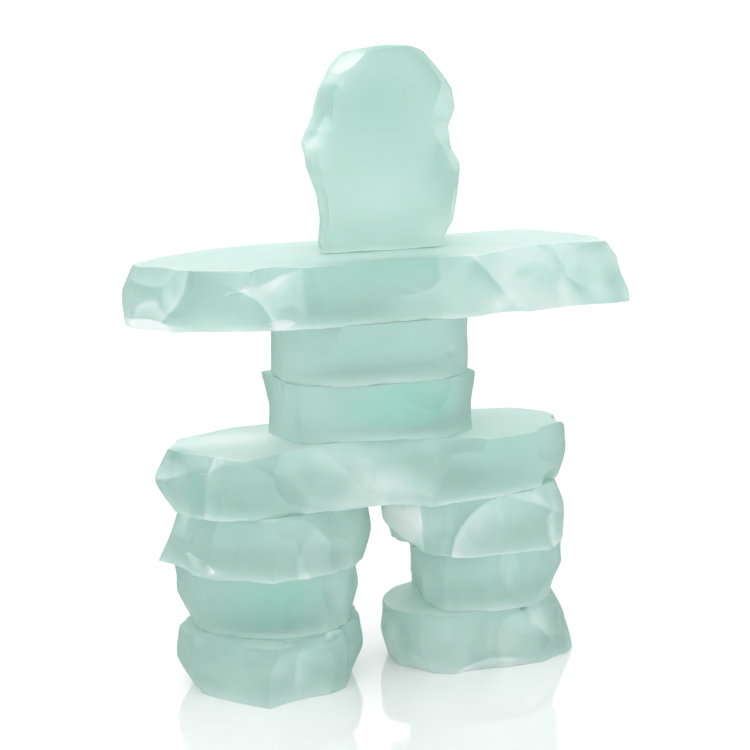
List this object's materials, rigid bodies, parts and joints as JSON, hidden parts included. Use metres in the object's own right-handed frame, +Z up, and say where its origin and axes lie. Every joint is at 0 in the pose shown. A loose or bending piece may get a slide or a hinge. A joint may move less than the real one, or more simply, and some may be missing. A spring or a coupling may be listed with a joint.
{
  "type": "glass inukshuk figure",
  "caption": "Desk-size standing stone-man figure in sandblasted plate glass: flaked slabs stacked as feet, legs, hips, torso, long outstretched arms and an upright head.",
  "frame": {"origin": "middle of the footprint, on the level that the feet stand on", "axes": "+X along the arms towards the viewer's right, +Y from the figure's front to its back, +Z up"},
  "size_m": [0.165, 0.0622, 0.1992],
  "materials": {
    "sandblasted_glass": "clear sea-green plate glass, sandblasted all over to a satin frost, edges hand-flaked"
  },
  "bodies": {
    "root": {"left_leg_lower": "sandblasted_glass", "left_leg_middle": "sandblasted_glass", "left_leg_upper": "sandblasted_glass", "right_leg_lower": "sandblasted_glass", "right_leg_middle": "sandblasted_glass", "right_leg_upper": "sandblasted_glass", "hips": "sandblasted_glass", "torso_lower": "sandblasted_glass", "torso_upper": "sandblasted_glass", "arms": "sandblasted_glass", "head": "sandblasted_glass"}
  },
  "joints": []
}
